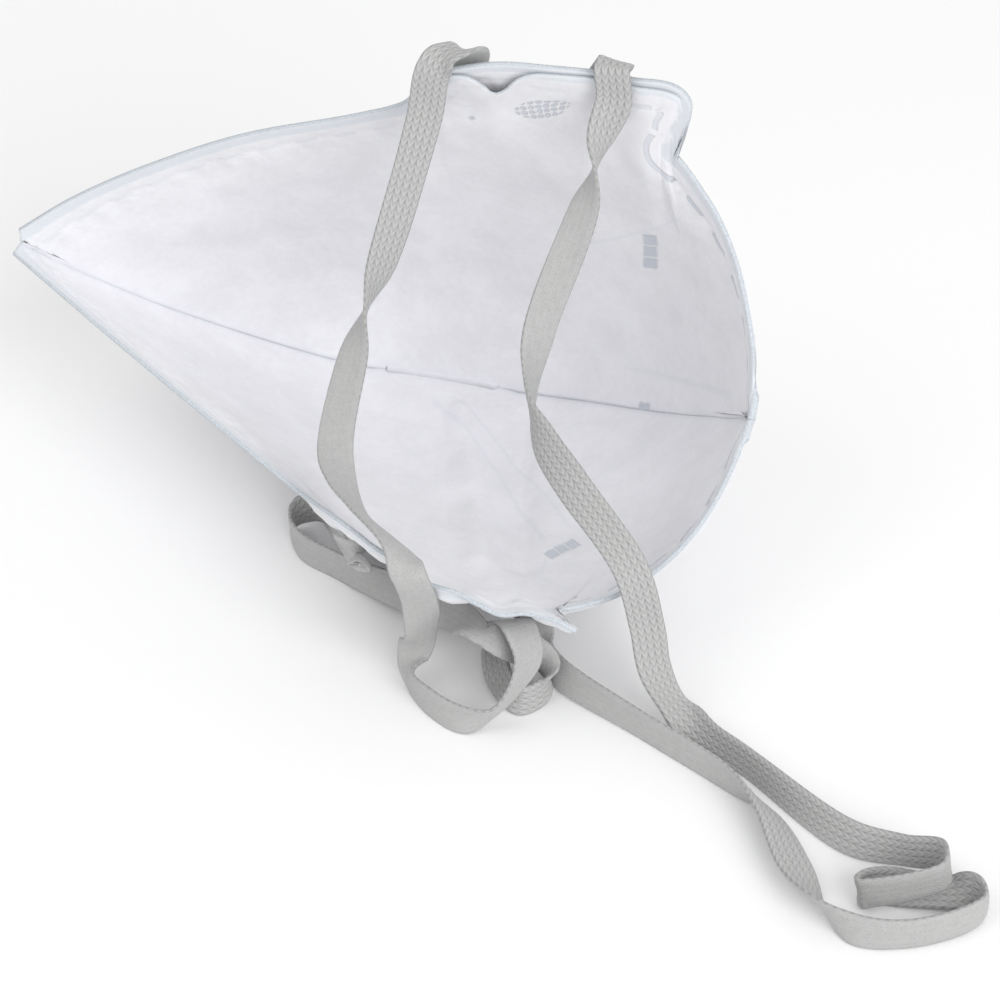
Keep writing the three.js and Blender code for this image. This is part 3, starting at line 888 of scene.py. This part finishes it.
def cloth_finish(name, settings, side):
    """Nonwoven cloth: matted fibres, with the edge band, the weld and the pressed marks, and
    painted shade along the creases, the folds and the front seam.
    """
    finish = Finish(name)
    along, across = finish.flat_places("cloth")
    run, depth = finish.flat_places("edge")
    fibres = finish.noise(FIBRE_SCALE, 5, 0.65)
    tufts = finish.noise(TUFT_SCALE, 3, 0.6)
    clouds = finish.noise(CLOUD_SCALE)
    creases = finish.noise(CREASE_SCALE, 3, 0.55)
    ragged = tufts * 0.8 - 0.4  # makes the marks' edges uneven
    band_width = settings.band_width / MM
    band = 1 - finish.step(depth + tufts * 0.5, band_width, band_width + 0.9)
    beside = abs((run / DASH_PITCH) % 1 - 0.5)
    dash = (1 - finish.step(beside, 0.24, 0.29)) * (
        1 - finish.step(abs(depth - WELD_DEPTH), 0.42, 0.75))
    marks = dash * (0.15 + finish.step(along, *DASH_FADE) * 0.65)
    for (mark_along, mark_across), size, angle, blocks in MARKS[side]:
        cos, sin = math.cos(angle), math.sin(angle)
        u = (along - mark_along) * cos + (across - mark_across) * sin
        v = (across - mark_across) * cos - (along - mark_along) * sin
        in_length, in_width = (
            1 - finish.step(abs(place) + ragged, reach / 2 - 0.5, reach / 2 + 0.4)
            for place, reach in zip((u, v), size)
        )
        inside = in_length * in_width
        beat = (u * blocks / size[0] + blocks / 2 + 0.5) % 1
        stripes = finish.step(abs(beat - 0.5), 0.05, 0.14)
        marks = finish.maths("MAXIMUM", marks, inside * (stripes * 0.55 + 0.35))
    for (oval_along, oval_across), size in OVALS[side]:
        u, v = (along - oval_along) / size[0], (across - oval_across) / size[1]
        oval = 1 - finish.step(u * u + v * v, 0.8, 1.05)
        from_lines = abs((along / 1.5) % 1 - 0.5) * abs((across / 1.5) % 1 - 0.5)
        cells = ragged * 0.3 + from_lines * 4
        marks = finish.maths("MAXIMUM", marks, oval * finish.step(cells, 0.12, 0.3) * 0.8)
    pressed = finish.maths("MAXIMUM", band * 0.7, marks)
    # A thin strip of painted shade along the front seam, where the two panels meet
    shade_lines = (1 - finish.step(abs(across), 0.1, 1.1)) * 0.6
    # Painted shade along each of the listed creases and folds, fading out past their ends
    for (u0, v0), (u1, v1), width, weight in CREASE_SHADE_LINES[side]:
        length = math.hypot(u1 - u0, v1 - v0)
        cos, sin = (u1 - u0) / length, (v1 - v0) / length
        ahead = (along - u0) * cos + (across - v0) * sin
        beside_line = (across - v0) * cos - (along - u0) * sin
        past = abs(ahead - length / 2) - length / 2
        line = (1 - finish.step(abs(beside_line + clouds * 0.8 - 0.4), 0.1, width)) * (
            1 - finish.step(past, -3, 1))
        shade_lines = finish.maths("MAXIMUM", shade_lines, line * weight)
    pale = tuple(settings.cloth)
    cloudy = finish.step(clouds * 0.6 + tufts * 0.4, 0.32, 0.68)
    colour = finish.blend(cloudy, shaded(pale, 0.93), pale)
    # The edge band: the pressed tone of welded cloth, and partly painted shade
    colour = finish.blend(band * 0.6, colour, tuple(settings.welded))
    colour = finish.blend(marks * 0.8, colour, tuple(settings.mark))
    # Darkens the cloth with the painted shade of the creases, the folds and the seam
    colour = finish.blend(shade_lines * 0.5, colour, tuple(settings.crease_shade))
    # The bump: fibres and tufts, flattened where pressed, and a shallow groove under each strip of
    # painted shade
    height = (fibres * 0.5 + tufts * 0.6) * (1 - pressed * 0.7)
    height = height + creases * 1.6 - pressed * 1.3 - shade_lines * 0.7
    return finish.surface(
        colour, 0.9 - pressed * 0.3, height, 0.16 * MM, sheen=0.35, strength=0.8)


def cut_edge_finish(name, settings):
    """The cut edge of the welded layers: pressed hard, slightly glassy, with fine ridges."""
    finish = Finish(name)
    run = finish.flat_places("edge")[0]
    fibres = finish.noise(FIBRE_SCALE, 4, 0.6)
    ridges = abs((run / 0.8) % 1 - 0.5)
    welded = tuple(settings.welded)
    colour = finish.blend(finish.step(fibres, 0.3, 0.7), shaded(welded, 0.8), welded)
    return finish.surface(colour, 0.55 + fibres * 0.2, fibres + ridges * 0.8, 0.1 * MM, sheen=0.1)


def floor_finish(settings):
    """The matt pale floor, with a faint grain."""
    finish = Finish("pale_floor")
    grain = finish.noise(GRAIN_SCALE)
    colour = finish.blend(grain, shaded(settings.floor, 0.985), tuple(settings.floor))
    return finish.surface(colour, 0.85, grain, 0.02 * MM)


class MASK_OT_stage(bpy.types.Operator):
    """Sets the camera, the soft lights and the pale floor"""

    bl_idname = "mask.stage"
    bl_label = "Stage"

    def execute(self, context):
        settings = context.scene.mask_stage
        back = Vector((
            math.sin(CAMERA_AZIMUTH) * math.cos(CAMERA_ELEVATION),
            -math.cos(CAMERA_AZIMUTH) * math.cos(CAMERA_ELEVATION),
            math.sin(CAMERA_ELEVATION),
        ))
        camera = bpy.data.objects.new("camera", bpy.data.cameras.new("camera"))
        context.collection.objects.link(camera)
        camera.data.lens = settings.lens
        camera.data.sensor_width = 36
        camera.data.clip_start = 0.01
        camera.location = Vector(CAMERA_TARGET) * MM + back * CAMERA_DISTANCE
        camera.rotation_euler = (-back).to_track_quat("-Z", "Y").to_euler()
        context.scene.camera = camera
        context.scene.view_settings.view_transform = "Standard"
        self.add_light("key", *KEY_LIGHT, settings.key_power)
        self.add_light("fill", *FILL_LIGHT, settings.fill_power)
        world = bpy.data.worlds.new("surround")
        world.use_nodes = True
        sky = world.node_tree.nodes["Background"]
        sky.inputs["Color"].default_value = (1.0, 1.0, 1.0, 1)
        sky.inputs["Strength"].default_value = settings.surround
        context.scene.world = world
        self.add_floor(context, settings)
        return {"FINISHED"}

    def add_light(self, name, place, size, power):
        lamp = bpy.data.lights.new(name, "AREA")
        lamp.shape = "DISK"
        lamp.size = size
        lamp.energy = power
        light = bpy.data.objects.new(name, lamp)
        light.location = place
        aim = Vector(LIGHT_TARGET) - Vector(place)
        light.rotation_euler = aim.to_track_quat("-Z", "Y").to_euler()
        bpy.context.collection.objects.link(light)

    def add_floor(self, context, settings):
        mesh = bpy.data.meshes.new("floor")
        disc = bmesh.new()
        bmesh.ops.create_circle(disc, cap_ends=True, radius=FLOOR_RADIUS, segments=96)
        disc.to_mesh(mesh)
        disc.free()
        mesh.materials.append(floor_finish(settings))
        floor = bpy.data.objects.new("floor", mesh)
        context.collection.objects.link(floor)


class MASK_OT_straps(bpy.types.Operator):
    """Lays the two knitted straps along their routes"""

    bl_idname = "mask.straps"
    bl_label = "Straps"

    def execute(self, context):
        settings = context.scene.mask_straps
        ribbed = knit_finish("knit_ribbed", settings, True)
        smooth = knit_finish("knit_smooth", settings, False)
        for node, rows in (("upper_strap", UPPER_STRAP), ("lower_strap", LOWER_STRAP)):
            piece, centres = strap_piece(f"{node}_elastic", rows, settings)
            for material in (ribbed, smooth):
                piece.data.materials.append(material)
            finished(piece)
            length = float(np.linalg.norm(np.diff(centres, axis=0), axis=1).sum())
            if abs(length / STRAP_LENGTHS[node] - 1) > LENGTH_TOLERANCE:
                raise RuntimeError(f"{node} is {length:.4f} m long")
            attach(piece, "root")
            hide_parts(node)
            tuple(centres[0])
            STRAP_LENGTHS[node]
        return {"FINISHED"}


class MASK_OT_inner_ply(bpy.types.Operator):
    """Adds the loose inner layer of the left tab, with the notch in its rim"""

    bl_idname = "mask.inner_ply"
    bl_label = "Inner layer of the left tab"

    def execute(self, context):
        settings = context.scene.mask_shell
        panel = Panel("left", settings)
        places, maps = panel.inner_ply()
        weights = np.ones(places.shape[:2])
        piece = grid_piece("left_inner_ply", places, maps, weights, "wall")
        piece.data.materials.append(cloth_finish("nonwoven_inner_ply", settings, "left"))
        piece.data.materials.append(cut_edge_finish("inner_ply_edge", settings))
        thickened(piece, PLY_WALL * MM, 0, "wall", material_offset_rim=1)
        finished(piece)
        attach(piece, "root")
        return {"FINISHED"}


class MASK_OT_panels(bpy.types.Operator):
    """Builds the two cloth cheek panels of the shell"""

    bl_idname = "mask.panels"
    bl_label = "Cheek panels"

    def execute(self, context):
        settings = context.scene.mask_shell
        edge = cut_edge_finish("welded_edge", settings)
        for side in ("left", "right"):
            panel = Panel(side, settings)
            places, maps = panel.layout()
            piece = grid_piece(f"{side}_cheek_cloth", places, maps, panel.wall_shares(), "wall")
            if side == "right":
                reverse(piece)
            piece.data.materials.append(cloth_finish(f"nonwoven_{side}", settings, side))
            piece.data.materials.append(edge)
            thickened(piece, settings.wall, -1, "wall", material_offset_rim=1)
            finished(piece)
            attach(piece, "root")
            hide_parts(f"{side}_panel")
        return {"FINISHED"}


class MASK_PT_panel(bpy.types.Panel):
    """Lists the mask's pieces and their sizes"""

    bl_idname = "MASK_PT_panel"
    bl_label = "Folding respirator mask"
    bl_space_type = "VIEW_3D"
    bl_region_type = "UI"
    bl_category = "Mask"

    def draw(self, context):
        scene = context.scene
        for operator, settings in (
            ("mask.stage", scene.mask_stage),
            ("mask.straps", scene.mask_straps),
            ("mask.panels", scene.mask_shell),
            ("mask.inner_ply", None),
        ):
            box = self.layout.box()
            box.operator(operator)
            for name in getattr(settings, "__annotations__", ()):
                box.prop(settings, name)


CLASSES = (
    MaskShellSettings, MaskStrapSettings, MaskStageSettings,
    MASK_OT_stage, MASK_OT_straps, MASK_OT_panels, MASK_OT_inner_ply, MASK_PT_panel,
)


def register():
    for made in CLASSES:
        bpy.utils.register_class(made)
    scene = bpy.types.Scene
    scene.mask_shell = bpy.props.PointerProperty(type=MaskShellSettings)
    scene.mask_straps = bpy.props.PointerProperty(type=MaskStrapSettings)
    scene.mask_stage = bpy.props.PointerProperty(type=MaskStageSettings)


def unregister():
    for name in ("mask_shell", "mask_straps", "mask_stage"):
        delattr(bpy.types.Scene, name)
    for made in reversed(CLASSES):
        bpy.utils.unregister_class(made)


def main():
    register()
    bpy.ops.mask.stage()
    bpy.ops.mask.straps()
    bpy.ops.mask.panels()
    bpy.ops.mask.inner_ply()


if __name__ == "__main__":
    main()
